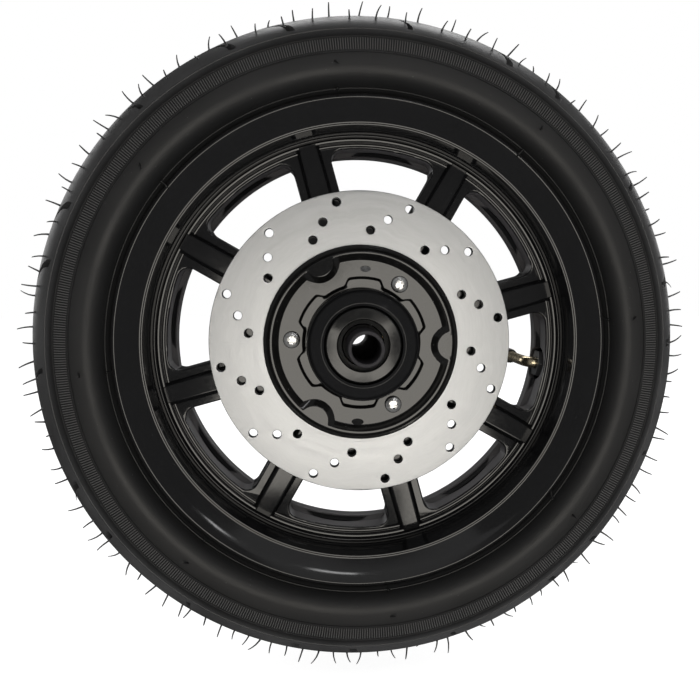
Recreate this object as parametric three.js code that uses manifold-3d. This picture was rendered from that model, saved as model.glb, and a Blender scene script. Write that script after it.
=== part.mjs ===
// A 12.5 inch scooter wheel: tubed tyre on a cast eight-spoke wheel, a drilled brake disc held by a
// scalloped cover plate, and a hub that turns on two ball bearings round a stationary spacer set.
// Millimetres. The axle lies along Y, the brake disc faces -Y, +Z is up, the origin is the wheel's centre.
// Angles are degrees from +X towards +Z, as they are seen from the disc's side.
import * as THREE from 'three';
import { mergeVertices, toCreasedNormals } from 'three/addons/utils/BufferGeometryUtils.js';
import Module from 'manifold-3d';

const wasm = await Module();
wasm.setup();

// Clearances
const gap = 0.3; // between pieces that touch
const boreGap = 0.5; // round a screw or the hub where it passes through
const overrun = 1; // how far a cutting body runs past the face it cuts

// Tyre and tube
const tyreDia = 300;
const tyreWidth = 76;
const crownRadius = 50;
const treadHalfWidth = 25;
const treadThickness = 7.5;
const wallThickness = 4.6;
const widestDia = 240;
const beadWidth = 7.6;
const beadOff = 0.6; // between the bead and the flange's inner side
const beadCorner = 0.8;
const lipCover = 1.4; // how far the side stands off the flange's edge
const tubeWall = 1.8;
const tubeWellGap = 1.7;
const tubeFloorInset = 1; // each side of the tube's floor, inside the well
const grooveRepeats = 7;
const grooveDepth = 2.6;
const grooveWidth = 5; // measured round the wheel
const grooveSweep = 13; // degrees
const groovePairing = 10.8; // degrees between the two grooves of a pair
const grooveStart = 1.12; // where a groove starts, as a share of the tread's half arc
const grooveReach = 0.85; // how much of that arc it crosses
const grooveNarrowing = 0.4;

// Rim
const beadSeatDia = 203;
const rimWidth = 64;
const flangeDia = 219.4;
const flangeLip = 4.8;
const flangeEdge = 1;
const flangeBead = 2.6; // width of the flange's outer bead
const flangeHollow = 0.5;
const flangeFoot = 3;
const seatCorner = 0.8;
const seatTaper = 0.5;
const lipInnerDia = 194.6;
const lipDish = 5.6;
const barrelDia = 191.4;
const wellDia = 186.6;
const wellWidth = 13;
const wellRamp = 7;
const stepWidth = 2.8;
const stepHeight = 1.8;
const stepCorner = 1;
const stepFillet = 0.5;
const grooveBehindSpokes = 0.8;

// Spokes
const spokeCount = 8;
const spokeAngle = 15.2;
const spokeWidth = 18.4;
const spokeFace = -7; // where the spokes' front lies along the axle
const spokeThickness = 19;
const windowOuterDia = 179.6;
const windowInnerDia = 110;
const windowCorner = 5;
const backLandDia = 174.8;
const backLandWidth = 7;
const backLandSlope = 2;
const ribWidth = 8.6;
const ribFlank = 3;
const ribTaper = 0.8;
const ribHeight = 2.3;

// Hub
const hubDia = 50.4;
const hubLength = 71;
const noseRadius = 7;
const hubFillet = 4;
const padDia = 100;
const padHeight = 2.7;
const spigotHeight = 3.8;
const padFoot = 1; // how deep the pad's edge goes into the web
const bearingShoulder = 2.5;
const webRound = 2; // how far the web's end is let into the hub

// Bearings, 12 x 32 x 10
const bearingBore = 12;
const bearingDia = 32;
const bearingWidth = 10;
const bearingSpread = 52; // between the two bearings' middles
const raceWall = 3.2;
const ballDia = 5.95;
const ballCount = 7;
const cageThickness = 2.2;
const cageWidth = 7.6;
const sealThickness = 0.6;

// Axle spacers and dust covers
const overallWidth = 110; // across the ends of the two side spacers
const spacerBore = 12.2;
const sideSpacerDia = 15.4;
const centreSpacerDia = 18;
const coverBore = 22.8;
const coverDia = 34.2;
const coverThickness = 3.2;
const coverCone = 1.2;
const coverNose = 0.8;
const coverChamfer = 0.6;

// Brake disc
const discDia = 140;
const discBore = 72;
const discThickness = 4;
const bandInnerDia = 93.2; // the rubbed band's inner edge
const bandProud = 0.2; // how far the band stands out of the disc's middle
const ventDia = 4;
const ventGroups = 12;
const ventPitches = [131, 116.1, 104.1];
const ventStart = 9.9; // degrees, the first hole of the outer row
const ventStagger = 7.6; // degrees from one row to the next

// Cover plate
const plateDia = 90.1;
const plateThickness = 5.9;
const plateStep = 2.6;
const plateStepDia = 87;
const plateEdge = 0.8;
const plateDraft = 0.4;
const plateTopDia = 83.6;
const recessDia = 81.8;
const recessDepth = 1.8;
const recessDraft = 3;
const scallopCount = 3;
const scallopAngle = -2;
const scallopPitch = 83;
const scallopDia = 13;
const lobeCount = 6;
const lobeAngle = 27.3;
const lobeOuterDia = 59.8;
const lobeInnerDia = 53.2;
const lobeDepth = 1.8;
const lobeSpan = 14; // degrees each side of a lobe's middle
const lobeFlank = 5.5; // degrees

// Screws of the cover plate
const screwCount = 3;
const screwAngle = 57;
const screwPitch = 64;
const screwDia = 5;
const screwHeadDia = 8;
const screwHeadHeight = 2;
const screwCrownDia = 5.76; // the head's flat top
const driveAngle = 20; // degrees
const screwThread = 9; // length inside the casting
const driveLength = 4.6;
const driveWidth = 1.1;
const driveDepth = 0.9;

// Valve
const valveAngle = -7.8;
const valveHoleDia = 8.3;
const valveStemDia = 5.2;
const valveFootDia = 12.6;
const valveFootThickness = 1.8;
const valveNutWidth = 12; // across flats
const valveNutThickness = 2.6;
const valveSeatDepth = 1.2;
const spotFaceDia = 15.84; // the nut's flat seat in the barrel
const valveReach = 40; // where the bent stem's tip lies along the axle
const valveBend = 4.2;
const valveRimGap = 1.2; // between the stem and the rim it runs along
const coreDia = 2.4;
const coreLength = 9;
const capDia = 7.6;
const capLength = 9;
const capGrip = 7; // how much of the stem the cap covers

// Facets round a full turn
const largeFacets = 36;
const hubFacets = 24;
const tubeFacets = 20;
const smallFacets = 20;
const bossFacets = 16;
const boltFacets = 12;
const holeFacets = 8;
const stemSteps = 18;
const hairline = 0.3; // between the parts that the casting is kept in

// Places that follow from the sizes
const radians = THREE.MathUtils.degToRad;
const circleHandle = 0.45; // of the radius, from a quarter bend's corner to its curve's handles
const tyreRadius = tyreDia / 2;
const seatRadius = beadSeatDia / 2;
const flangeRadius = flangeDia / 2;
const rimHalf = rimWidth / 2;
const flangeInner = rimHalf - flangeLip; // tyre side of the flange at its foot
const beadOuter = flangeInner - beadOff - beadCorner;
const wellRadius = wellDia / 2;
const spokeBack = spokeFace + spokeThickness;
const wellMiddle = (spokeFace + spokeBack) / 2;
const hubRadius = hubDia / 2;
const noseEnd = hubLength / 2;
const bearingInner = (bearingSpread - bearingWidth) / 2;
const bearingOuter = (bearingSpread + bearingWidth) / 2;
const ballPitch = (bearingBore + bearingDia) / 4;
const innerRaceRadius = bearingBore / 2 + raceWall;
const outerRaceRadius = bearingDia / 2 - raceWall;
const padFace = spokeFace - padHeight;
const spigotFace = padFace - spigotHeight;
const discBack = padFace - gap;
const discFront = discBack - discThickness;
const plateBack = discFront - gap;
const plateFront = plateBack - plateThickness;
const recessFloor = plateFront + recessDepth;
const spacerEnd = overallWidth / 2;
const valveSeat = windowOuterDia / 2 + valveSeatDepth;
const stemLine = backLandDia / 2 - valveStemDia / 2 - valveRimGap;

function finish(color, roughness, metalness) {
  return new THREE.MeshStandardMaterial({ color, roughness, metalness });
}

const rubber = finish(0x26262a, 0.78, 0);
const tubeRubber = finish(0x17171a, 0.6, 0);
const blackGloss = finish(0x0c0c0e, 0.16, 0.2);
const discSteel = finish(0xc3c4c6, 0.32, 1);
const zinc = finish(0xb9bcc0, 0.3, 1);
const bearingSteel = finish(0x8f9296, 0.25, 1);
const cageBrass = finish(0x9a8a5a, 0.4, 1);
const sealRubber = finish(0x121214, 0.7, 0);
const darkSteel = finish(0x3a3a3c, 0.5, 0.7);
const blackPlastic = finish(0x101012, 0.25, 0);
const brass = finish(0xb39b72, 0.28, 1);

const wheel = new THREE.Group();

// A closed geometry as a solid that can be joined and cut.
function solid(geometry) {
  const bare = new THREE.BufferGeometry();
  const loose = geometry.index ? geometry.toNonIndexed() : geometry;
  bare.setAttribute('position', loose.getAttribute('position'));
  const merged = mergeVertices(bare, 1e-4);
  const corners = merged.index.array;
  const kept = [];
  for (let i = 0; i < corners.length; i += 3) {
    const [a, b, c] = [corners[i], corners[i + 1], corners[i + 2]];
    if (a !== b && b !== c && c !== a) kept.push(a, b, c);
  }
  const vertProperties = new Float32Array(merged.getAttribute('position').array);
  return new wasm.Manifold(new wasm.Mesh({ numProp: 3, vertProperties, triVerts: new Uint32Array(kept) }));
}

function joined(...geometries) {
  return geometries.map(solid).reduce((body, next) => body.add(next));
}

function cut(body, ...geometries) {
  return geometries.reduce((left, tool) => left.subtract(solid(tool)), body);
}

// Adds a named piece to the wheel or to a group of its own.
function place(name, body, material, parent = wheel) {
  const { vertProperties, triVerts } = (body.isBufferGeometry ? solid(body) : body).getMesh();
  const geometry = new THREE.BufferGeometry();
  geometry.setAttribute('position', new THREE.BufferAttribute(vertProperties, 3));
  geometry.setIndex(new THREE.BufferAttribute(triVerts, 1));
  const piece = new THREE.Mesh(toCreasedNormals(geometry, radians(30)), material);
  piece.name = name;
  parent.add(piece);
  return piece;
}

// Turns a closed outline of [radius, place along the axle] round the axle.
function revolve(outline, facets) {
  const points = outline.map(([r, y]) => new THREE.Vector2(r, y));
  if (THREE.ShapeUtils.area(points) < 0) points.reverse();
  points.push(points[0].clone());
  return new THREE.LatheGeometry(points, facets);
}

function ring(outer, inner, from, to, facets) {
  return revolve([[inner, from], [outer, from], [outer, to], [inner, to]], facets);
}

// A flat outline in X and Z, made solid from one place along the axle to another.
function slab(points, from, to) {
  const shape = new THREE.Shape(points);
  const geometry = new THREE.ExtrudeGeometry(shape, { depth: to - from, bevelEnabled: false });
  return geometry.rotateX(Math.PI / 2).translate(0, to, 0);
}

// A round bar along the axle's direction, centred on it.
function pin(diameter, from, to, facets) {
  const bar = new THREE.CylinderGeometry(diameter / 2, diameter / 2, to - from, facets);
  return bar.translate(0, (from + to) / 2, 0);
}

// A round bar that points away from the axle along +X, level with the rim's well.
function radialPin(diameter, from, to, facets) {
  return pin(diameter, from, to, facets).rotateZ(-Math.PI / 2);
}

function polar(radius, degrees) {
  return new THREE.Vector2(radius * Math.cos(radians(degrees)), radius * Math.sin(radians(degrees)));
}

function movedOut(geometry, radius, degrees) {
  const at = polar(radius, degrees);
  return geometry.clone().translate(at.x, 0, at.y);
}

function turned(geometry, degrees) {
  return geometry.clone().rotateY(-radians(degrees));
}

// Evenly spaced angles of a pattern round the axle.
function anglesOf(count, start) {
  return Array.from({ length: count }, (_, i) => start + (i * 360) / count);
}

function arc(x, y, radius, from, to, steps) {
  return Array.from({ length: steps + 1 }, (_, i) => {
    const angle = from + ((to - from) * i) / steps;
    return new THREE.Vector2(x + radius * Math.cos(angle), y + radius * Math.sin(angle));
  });
}

const pairs = (points) => points.map((p) => [p.x, p.y]);
const mirrored = (outline) => outline.map(([r, y]) => [r, -y]).reverse();

// A body through sections with the same number of corners each, listed in order along it.
function loft(sections) {
  const corners = sections[0].length;
  const faces = [];
  for (let i = 0; i < sections.length - 1; i += 1) {
    for (let k = 0; k < corners; k += 1) {
      const a = i * corners + k;
      const b = i * corners + ((k + 1) % corners);
      faces.push([a, b, b + corners], [a, b + corners, a + corners]);
    }
  }
  const last = (sections.length - 1) * corners;
  for (let k = 1; k < corners - 1; k += 1) faces.push([0, k + 1, k], [last, last + k, last + k + 1]);
  const geometry = new THREE.BufferGeometry();
  geometry.setAttribute('position', new THREE.Float32BufferAttribute(sections.flat(2), 3));
  geometry.setIndex(faces.flat());
  return geometry;
}

// Half of the tyre's outside, from the crown to the bead's toe on the -Y side.
function tyreOutside() {
  const half = tyreWidth / 2;
  const lean = Math.asin(treadHalfWidth / crownRadius);
  const shoulder = tyreRadius - crownRadius * (1 - Math.cos(lean));
  const drop = (half - treadHalfWidth) * Math.tan(lean);
  const crown = arc(tyreRadius - crownRadius, 0, crownRadius, 0, -lean, 2);
  const path = new THREE.Path(crown.slice(-1));
  path.quadraticCurveTo(shoulder - drop, -half, widestDia / 2, -half);
  path.quadraticCurveTo(flangeRadius + wallThickness, -half, flangeRadius + lipCover, gap - rimHalf);
  return [
    ...pairs(crown.slice(0, -1)),
    ...pairs(path.getPoints(2)),
    [flangeRadius - flangeHollow - gap, -rimHalf + flangeBead + beadOff],
    [seatRadius + flangeFoot, -flangeInner + beadOff],
    [seatRadius + gap, -beadOuter],
    [seatRadius + gap, beadWidth - beadOuter],
  ];
}

// Half of the tyre's inside, from the bead's toe to the crown, drawn in from the walls and off the beads.
function tyreInside(drawnIn, lifted) {
  const half = tyreWidth / 2 - wallThickness - drawnIn;
  const toe = beadOuter - beadWidth;
  const crown = tyreRadius - treadThickness - drawnIn;
  const path = new THREE.Path();
  path.moveTo(seatRadius + gap + wallThickness + lifted, drawnIn - toe - wallThickness / 2);
  path.quadraticCurveTo(flangeRadius + lifted, -half, widestDia / 2, -half);
  path.quadraticCurveTo(crown, -half, crown, 0);
  return pairs(path.getPoints(2));
}

// A curved groove that runs in from one shoulder of the tread and narrows on its way.
function treadGroove(side, degrees) {
  const centre = tyreRadius - crownRadius;
  const start = Math.asin(treadHalfWidth / crownRadius) * grooveStart;
  const sections = [0, 1].map((share) => {
    const lean = start * (1 - share * grooveReach);
    const turn = radians(degrees + grooveSweep * share * share);
    const half = ((grooveWidth / 2) * (1 - share * grooveNarrowing)) / tyreRadius;
    const corner = (height, edge) => {
      const r = centre + height * Math.cos(lean);
      const angle = turn + edge * half;
      return [r * Math.cos(angle), side * height * Math.sin(lean), r * Math.sin(angle)];
    };
    const floor = crownRadius - grooveDepth;
    const above = crownRadius + 4 * overrun;
    return [corner(floor, -side), corner(above, -side), corner(above, side), corner(floor, side)];
  });
  return loft(sections);
}

function addTyre() {
  const outside = tyreOutside();
  const inside = tyreInside(0, 0);
  const outline = [...outside, ...inside, ...mirrored(inside).slice(1), ...mirrored(outside).slice(0, -1)];
  const grooves = anglesOf(grooveRepeats, 0).flatMap((angle) => [
    treadGroove(-1, angle),
    treadGroove(-1, angle + groovePairing),
    treadGroove(1, angle + 180 / grooveRepeats),
    treadGroove(1, angle + 180 / grooveRepeats + groovePairing),
  ]);
  place('tyre', cut(solid(revolve(outline, largeFacets)), ...grooves), rubber);
}

// The tube fills the tyre down to the rim's well, and is open where the valve's foot is bonded in.
function addInnerTube() {
  const inside = tyreInside(gap * 2, tubeWellGap);
  const floor = wellRadius + tubeWellGap;
  const floorHalf = wellWidth / 2 - tubeFloorInset;
  const rampTop = seatRadius + gap + tubeWellGap;
  const foot = [
    [rampTop, wellMiddle - floorHalf - wellRamp],
    [floor, wellMiddle - floorHalf],
    [floor, wellMiddle + floorHalf],
    [rampTop, wellMiddle + floorHalf + wellRamp],
  ];
  const outline = [...foot.toReversed(), ...inside, ...mirrored(inside).slice(1)];
  const middle = (floor + tyreRadius - treadThickness) / 2;
  const hollow = outline.map(([r, y]) => {
    const away = new THREE.Vector2(r - middle, y);
    away.setLength(away.length() - tubeWall);
    return [middle + away.x, away.y];
  });
  const opening = radialPin(valveFootDia + 2 * gap, wellRadius - overrun, floor + 2 * tubeWall, boltFacets);
  const valveSide = turned(opening.translate(0, wellMiddle, 0), valveAngle);
  const skin = solid(revolve(outline, tubeFacets));
  place('inner_tube', cut(skin, revolve(hollow, tubeFacets), valveSide), tubeRubber);
}

// The cast rim: flanges, bead seats, well, dished lips and the barrel on both sides of the spokes.
function rimBody() {
  const half = wellWidth / 2;
  const barrel = barrelDia / 2;
  const behind = windowOuterDia / 2 + grooveBehindSpokes;
  const flange = [
    [flangeRadius - flangeEdge, -rimHalf],
    [flangeRadius, -rimHalf + flangeEdge],
    [flangeRadius - flangeHollow, -rimHalf + flangeBead],
    [seatRadius + flangeFoot, -flangeInner],
    [seatRadius, -flangeInner + seatCorner],
  ];
  return revolve(
    [
      ...flange,
      [seatRadius - seatTaper, wellMiddle - half - wellRamp],
      [wellRadius, wellMiddle - half],
      [wellRadius, wellMiddle + half],
      [seatRadius - seatTaper, wellMiddle + half + wellRamp],
      ...mirrored(flange),
      [lipInnerDia / 2, rimHalf - lipDish],
      [barrel, spokeBack + stepHeight],
      [backLandDia / 2, spokeBack],
      [backLandDia / 2, spokeBack - backLandWidth],
      [behind, spokeBack - backLandWidth - backLandSlope],
      [behind, spokeFace + stepCorner],
      [barrel - stepWidth, spokeFace],
      [barrel - stepWidth, spokeFace - stepHeight],
      [barrel, spokeFace - stepHeight - stepFillet],
      [lipInnerDia / 2, -rimHalf + lipDish],
    ],
    largeFacets,
  );
}

// The opening between two spokes: its sides lie along the spokes, its ends along the rim and the hub.
function windowOutline() {
  const outer = windowOuterDia / 2;
  const inner = windowInnerDia / 2;
  const side = spokeWidth / 2 + windowCorner; // from the spoke's middle line to the corners' centres
  const near = Math.sqrt((inner + windowCorner) ** 2 - side ** 2);
  const far = Math.sqrt((outer - windowCorner) ** 2 - side ** 2);
  const flank = [
    ...arc(near, side, windowCorner, Math.PI + Math.atan2(side, near), Math.PI * 1.5, 2),
    ...arc(far, side, windowCorner, -Math.PI / 2, Math.atan2(side, far), 2),
  ].map((p) => p.rotateAround(new THREE.Vector2(), -Math.PI / spokeCount));
  const otherFlank = flank.map((p) => new THREE.Vector2(p.x, -p.y)).reverse();
  const rimEnd = flank.at(-1).angle() - 2 * Math.PI;
  const hubEnd = otherFlank.at(-1).angle();
  const alongRim = arc(0, 0, outer, rimEnd, -rimEnd, 4).slice(1, -1);
  const alongHub = arc(0, 0, inner, hubEnd, -hubEnd, 2).slice(1, -1);
  return [...flank, ...alongRim, ...otherFlank, ...alongHub];
}

// The raised rib along a spoke on +X, with sloping flanks, from the hub to the barrel's wall.
function spokeRib(face, top) {
  const root = face + (face - top) / 2;
  const section = (x, widen) => {
    const crest = ribWidth / 2 + widen;
    const base = crest + ribFlank;
    return [[x, root, -base], [x, root, base], [x, top, crest], [x, top, -crest]];
  };
  return loft([section(hubRadius, ribTaper / 2), section((barrelDia + stepWidth) / 2, -ribTaper / 2)]);
}

function spokeBody() {
  const rimEnd = windowOuterDia / 2 + 2 * grooveBehindSpokes;
  const plate = ring(rimEnd, hubRadius - hubFillet, spokeFace, spokeBack, largeFacets);
  const opening = slab(windowOutline(), spokeFace - overrun, spokeBack + overrun);
  const frontRib = spokeRib(spokeFace, spokeFace - ribHeight);
  const backRib = frontRib.clone().rotateX(Math.PI).translate(0, spokeFace + spokeBack, 0);
  const spokes = anglesOf(spokeCount, spokeAngle);
  const windows = spokes.map((angle) => turned(opening, angle + 180 / spokeCount));
  const ribs = spokes.flatMap((angle) => [turned(frontRib, angle), turned(backRib, angle)]);
  return cut(solid(plate), ...windows).add(joined(...ribs));
}

// The hub barrel with its round noses, the disc's pad and spigot, and the bearing seats.
function hubBody() {
  const seat = bearingDia / 2 + gap;
  const cover = coverDia / 2 + gap;
  const shoulder = bearingInner - gap;
  const coverFloor = noseEnd - coverThickness - gap;
  const nose = pairs(arc(hubRadius - noseRadius, noseEnd - noseRadius, noseRadius, 0, Math.PI / 2, 3));
  const seats = [
    [cover, noseEnd],
    [cover, coverFloor],
    [seat, coverFloor],
    [seat, shoulder],
    [seat - bearingShoulder, shoulder],
  ];
  const webEdge = windowInnerDia / 2 - webRound;
  return revolve(
    [
      ...mirrored(nose),
      [hubRadius, spigotFace],
      [discBore / 2 - gap, spigotFace],
      [discBore / 2 - gap, padFace],
      [padDia / 2, padFace],
      [padDia / 2, spokeFace + padFoot],
      [webEdge, spokeFace + 2 * padFoot],
      [webEdge, spokeBack - 2 * padFoot],
      [hubRadius + hubFillet, spokeBack],
      [hubRadius, spokeBack + hubFillet],
      ...nose,
      ...seats,
      ...mirrored(seats),
    ],
    hubFacets,
  );
}

// Part of a flat ring, as an outline whose middle lies on +X.
function ringSector(outer, inner, degrees) {
  const reach = radians(degrees / 2);
  return [...arc(0, 0, outer, -reach, reach, 8), ...arc(0, 0, inner, reach, -reach, 8)];
}

// The casting is one piece. It is kept as a rim, spokes and a hub, parted by hairlines.
function addCasting() {
  const thread = pin(screwDia + 2 * gap, spigotFace - overrun, spigotFace + screwThread + overrun, holeFacets);
  const threads = anglesOf(screwCount, screwAngle).map((angle) => movedOut(thread, screwPitch / 2, angle));
  const stemHole = radialPin(valveHoleDia, stemLine, seatRadius, boltFacets).translate(0, wellMiddle, 0);
  const spotFace = radialPin(spotFaceDia, stemLine, valveSeat, boltFacets).translate(0, wellMiddle, 0);
  const body = solid(rimBody()).add(spokeBody()).add(solid(hubBody()));
  const drilled = cut(body, ...threads, turned(stemHole, valveAngle), turned(spotFace, valveAngle));
  const outerSplit = backLandDia / 2 - hairline / 2;
  const innerSplit = windowInnerDia / 2 + hairline;
  const middle = [-rimHalf - overrun, rimHalf + overrun];
  const rimSpace = ring(flangeRadius + overrun, outerSplit, ...middle, largeFacets);
  const hubSpace = ring(innerSplit, 1, -noseEnd - overrun, noseEnd + overrun, largeFacets);
  const flats = Math.cos(Math.PI / largeFacets); // how far a faceted ring's flats fall inside its corners
  const sector = ringSector(outerSplit * flats - hairline, innerSplit + hairline, 360 / spokeCount);
  const spokeSpace = slab(sector, ...middle);
  place('wheel_rim', drilled.intersect(solid(rimSpace)), blackGloss);
  place('wheel_hub', drilled.intersect(solid(hubSpace)), blackGloss);
  anglesOf(spokeCount, spokeAngle).forEach((angle, i) => {
    place(`wheel_spoke_${i + 1}`, drilled.intersect(solid(turned(spokeSpace, angle))), blackGloss);
  });
}

function addBrakeDisc() {
  const bandFace = discFront - bandProud;
  const blank = revolve(
    [
      [discBore / 2, discFront],
      [bandInnerDia / 2, discFront],
      [bandInnerDia / 2, bandFace],
      [discDia / 2, bandFace],
      [discDia / 2, discBack],
      [discBore / 2, discBack],
    ],
    largeFacets,
  );
  const vent = pin(ventDia, bandFace - overrun, discBack + overrun, holeFacets);
  const vents = ventPitches.flatMap((pitch, row) =>
    anglesOf(ventGroups, ventStart + row * ventStagger).map((angle) => movedOut(vent, pitch / 2, angle)),
  );
  place('brake_disc', cut(solid(blank), ...vents), discSteel);
}

// A cone along the axle that is a given size at the cover plate's face and changes towards its floor.
function recessCone(faceDia, growth, facets) {
  const slope = growth / recessDepth;
  const atFloor = faceDia / 2 + growth;
  const outside = faceDia / 2 - slope * overrun;
  const cone = new THREE.CylinderGeometry(atFloor, outside, recessDepth + overrun, facets);
  return cone.translate(0, recessFloor - (recessDepth + overrun) / 2, 0);
}

// The six-lobed pocket round the hub.
function lobeOutline() {
  return anglesOf(lobeCount, lobeAngle).flatMap((middle) => [
    polar(lobeInnerDia / 2, middle - lobeSpan - lobeFlank),
    polar(lobeOuterDia / 2, middle - lobeSpan),
    polar(lobeOuterDia / 2, middle + lobeSpan),
    polar(lobeInnerDia / 2, middle + lobeSpan + lobeFlank),
  ]);
}

function addCoverPlate() {
  const bore = hubRadius + boreGap;
  const blank = revolve(
    [
      [bore, plateBack],
      [plateDia / 2, plateBack],
      [plateDia / 2, plateBack - plateStep + plateEdge],
      [plateDia / 2 - plateEdge, plateBack - plateStep],
      [plateStepDia / 2, plateBack - plateStep],
      [plateStepDia / 2 - plateDraft, plateFront + plateEdge],
      [plateTopDia / 2, plateFront],
      [bore, plateFront],
    ],
    largeFacets,
  );
  const boss = recessCone(scallopDia, recessDraft, bossFacets);
  const bosses = anglesOf(scallopCount, scallopAngle).map((angle) => movedOut(boss, scallopPitch / 2, angle));
  const recess = cut(solid(recessCone(recessDia, -recessDraft, largeFacets)), ...bosses);
  const lobes = slab(lobeOutline(), recessFloor - overrun, recessFloor + lobeDepth);
  const hole = pin(screwDia + 2 * boreGap, plateFront - overrun, plateBack + overrun, boltFacets);
  const holes = anglesOf(screwCount, screwAngle).map((angle) => movedOut(hole, screwPitch / 2, angle));
  place('disc_cover_plate', cut(solid(blank).subtract(recess), lobes, ...holes), blackGloss);
}

// Cross-head screws, each drawn with its head's underside at the origin and its thread along +Y.
function addDiscScrews() {
  const seat = recessFloor - gap;
  const head = new THREE.CylinderGeometry(screwHeadDia / 2, screwCrownDia / 2, screwHeadHeight, boltFacets);
  head.translate(0, -screwHeadHeight / 2, 0);
  const slot = new THREE.BoxGeometry(driveLength, driveDepth * 2, driveWidth);
  slot.translate(0, -screwHeadHeight, 0);
  const shank = pin(screwDia, -screwHeadHeight / 2, spigotFace + screwThread - seat, holeFacets);
  const screw = cut(joined(head, shank), turned(slot, driveAngle), turned(slot, driveAngle + 90));
  anglesOf(screwCount, screwAngle).forEach((angle, i) => {
    const at = polar(screwPitch / 2, angle);
    place(`disc_screw_${i + 1}`, screw, zinc).position.set(at.x, seat, at.y);
  });
}

// A race from its plain face to its grooved one, about the bearing's middle.
function raceOutline(plain, grooved) {
  const half = bearingWidth / 2;
  const groove = ballDia / 2 + gap;
  const towards = Math.sign(grooved - plain); // +1 where the groove faces away from the axle
  const reach = Math.acos(Math.abs(ballPitch - grooved) / groove);
  const middle = towards > 0 ? Math.PI : 0;
  const track = pairs(arc(ballPitch, 0, groove, middle + reach * towards, middle - reach * towards, 3));
  return [[plain, half], [plain, -half], [grooved, -half], ...track, [grooved, half]];
}

// A sealed ball bearing; its cage and balls run round between the races.
function addBearing(name, along) {
  const bearing = new THREE.Group();
  bearing.position.y = along;
  wheel.add(bearing);
  const innerRace = revolve(raceOutline(bearingBore / 2, innerRaceRadius), smallFacets);
  const outerRace = revolve(raceOutline(bearingDia / 2, outerRaceRadius), smallFacets);
  place(`${name}_inner_race`, innerRace, bearingSteel, bearing);
  place(`${name}_outer_race`, outerRace, bearingSteel, bearing);
  const face = bearingWidth / 2 - gap;
  const seal = ring(outerRaceRadius - gap, innerRaceRadius + gap, face - sealThickness, face, smallFacets);
  place(`${name}_near_seal`, seal, sealRubber, bearing);
  place(`${name}_far_seal`, seal, sealRubber, bearing).rotation.x = Math.PI;
  addCage(name, bearing);
}

function addCage(name, bearing) {
  const outer = ballPitch + cageThickness / 2;
  const band = solid(ring(outer, outer - cageThickness, -cageWidth / 2, cageWidth / 2, ballCount * 2));
  const angles = anglesOf(ballCount, 0);
  const opening = ballDia + 2 * gap;
  const pocket = new THREE.BoxGeometry(cageThickness * 3, opening, opening).translate(ballPitch, 0, 0);
  place(`${name}_cage`, cut(band, ...angles.map((angle) => turned(pocket, angle))), cageBrass, bearing);
  angles.forEach((angle, i) => {
    const at = polar(ballPitch, angle);
    const ball = new THREE.OctahedronGeometry(ballDia / 2, 1);
    place(`${name}_ball_${i + 1}`, ball, bearingSteel, bearing).position.set(at.x, 0, at.y);
  });
}

function addSpacers() {
  const bore = spacerBore / 2;
  const inboard = bearingInner - gap;
  const outboard = bearingOuter + gap;
  place('centre_spacer', ring(centreSpacerDia / 2, bore, -inboard, inboard, smallFacets), darkSteel);
  const side = ring(sideSpacerDia / 2, bore, outboard, spacerEnd, smallFacets);
  place('far_side_spacer', side, darkSteel);
  place('disc_side_spacer', side, darkSteel).rotation.x = Math.PI;
}

// Dust covers: shallow cones round the spacers, let into the hub's noses.
function addDustCovers() {
  const outer = coverDia / 2;
  const bore = coverBore / 2;
  const cover = revolve(
    [
      [bore, noseEnd - coverThickness],
      [outer, noseEnd - coverThickness],
      [outer, noseEnd - coverCone],
      [bore + coverNose, noseEnd],
      [bore, noseEnd - coverChamfer],
    ],
    hubFacets,
  );
  place('far_side_dust_cover', cover, blackPlastic);
  place('disc_side_dust_cover', cover, blackPlastic).rotation.x = Math.PI;
}

// The valve is drawn on +X, level with the well: out of the tube, through the rim, then along the axle.
function addValve() {
  const valve = new THREE.Group();
  valve.position.y = wellMiddle;
  valve.rotation.y = -radians(valveAngle);
  wheel.add(valve);
  const tip = valveReach - wellMiddle;
  const footSeat = wellRadius + 2 * gap;
  const foot = radialPin(valveFootDia, footSeat, footSeat + valveFootThickness, boltFacets);
  const bore = pin(coreDia + 2 * gap, tip - coreLength - gap, tip + overrun, holeFacets).translate(stemLine, 0, 0);
  const core = pin(coreDia, tip - coreLength, tip, holeFacets).translate(stemLine, 0, 0);
  const stem = joined(bentStem(footSeat + valveFootThickness / 2, tip), foot);
  place('valve_stem', cut(stem, bore), brass, valve);
  place('valve_core', core, zinc, valve);
  const nutTop = valveSeat - gap;
  const nutFoot = nutTop - valveNutThickness;
  const nut = radialPin(valveNutWidth / Math.cos(Math.PI / 6), nutFoot, nutTop, 6);
  const nutBore = radialPin(valveStemDia + 2 * gap, nutFoot - overrun, nutTop + overrun, boltFacets);
  place('valve_nut', cut(solid(nut), nutBore), blackPlastic, valve);
  const cap = pin(capDia, -capGrip, capLength - capGrip, boltFacets);
  const capBore = pin(valveStemDia + 2 * gap, -capGrip - overrun, gap, boltFacets);
  place('valve_cap', cut(solid(cap), capBore), blackPlastic, valve).position.set(stemLine, tip, 0);
}

function bentStem(start, tip) {
  const handle = valveBend * circleHandle;
  const route = new THREE.CurvePath();
  const corner = [
    new THREE.Vector3(stemLine + valveBend, 0, 0),
    new THREE.Vector3(stemLine + handle, 0, 0),
    new THREE.Vector3(stemLine, handle, 0),
    new THREE.Vector3(stemLine, valveBend, 0),
  ];
  route.add(new THREE.LineCurve3(new THREE.Vector3(start, 0, 0), corner[0]));
  route.add(new THREE.CubicBezierCurve3(...corner));
  route.add(new THREE.LineCurve3(corner[3], new THREE.Vector3(stemLine, tip, 0)));
  const section = new THREE.Shape(arc(0, 0, valveStemDia / 2, 0, 2 * Math.PI, holeFacets).slice(1));
  return new THREE.ExtrudeGeometry(section, { steps: stemSteps, bevelEnabled: false, extrudePath: route });
}

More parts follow.
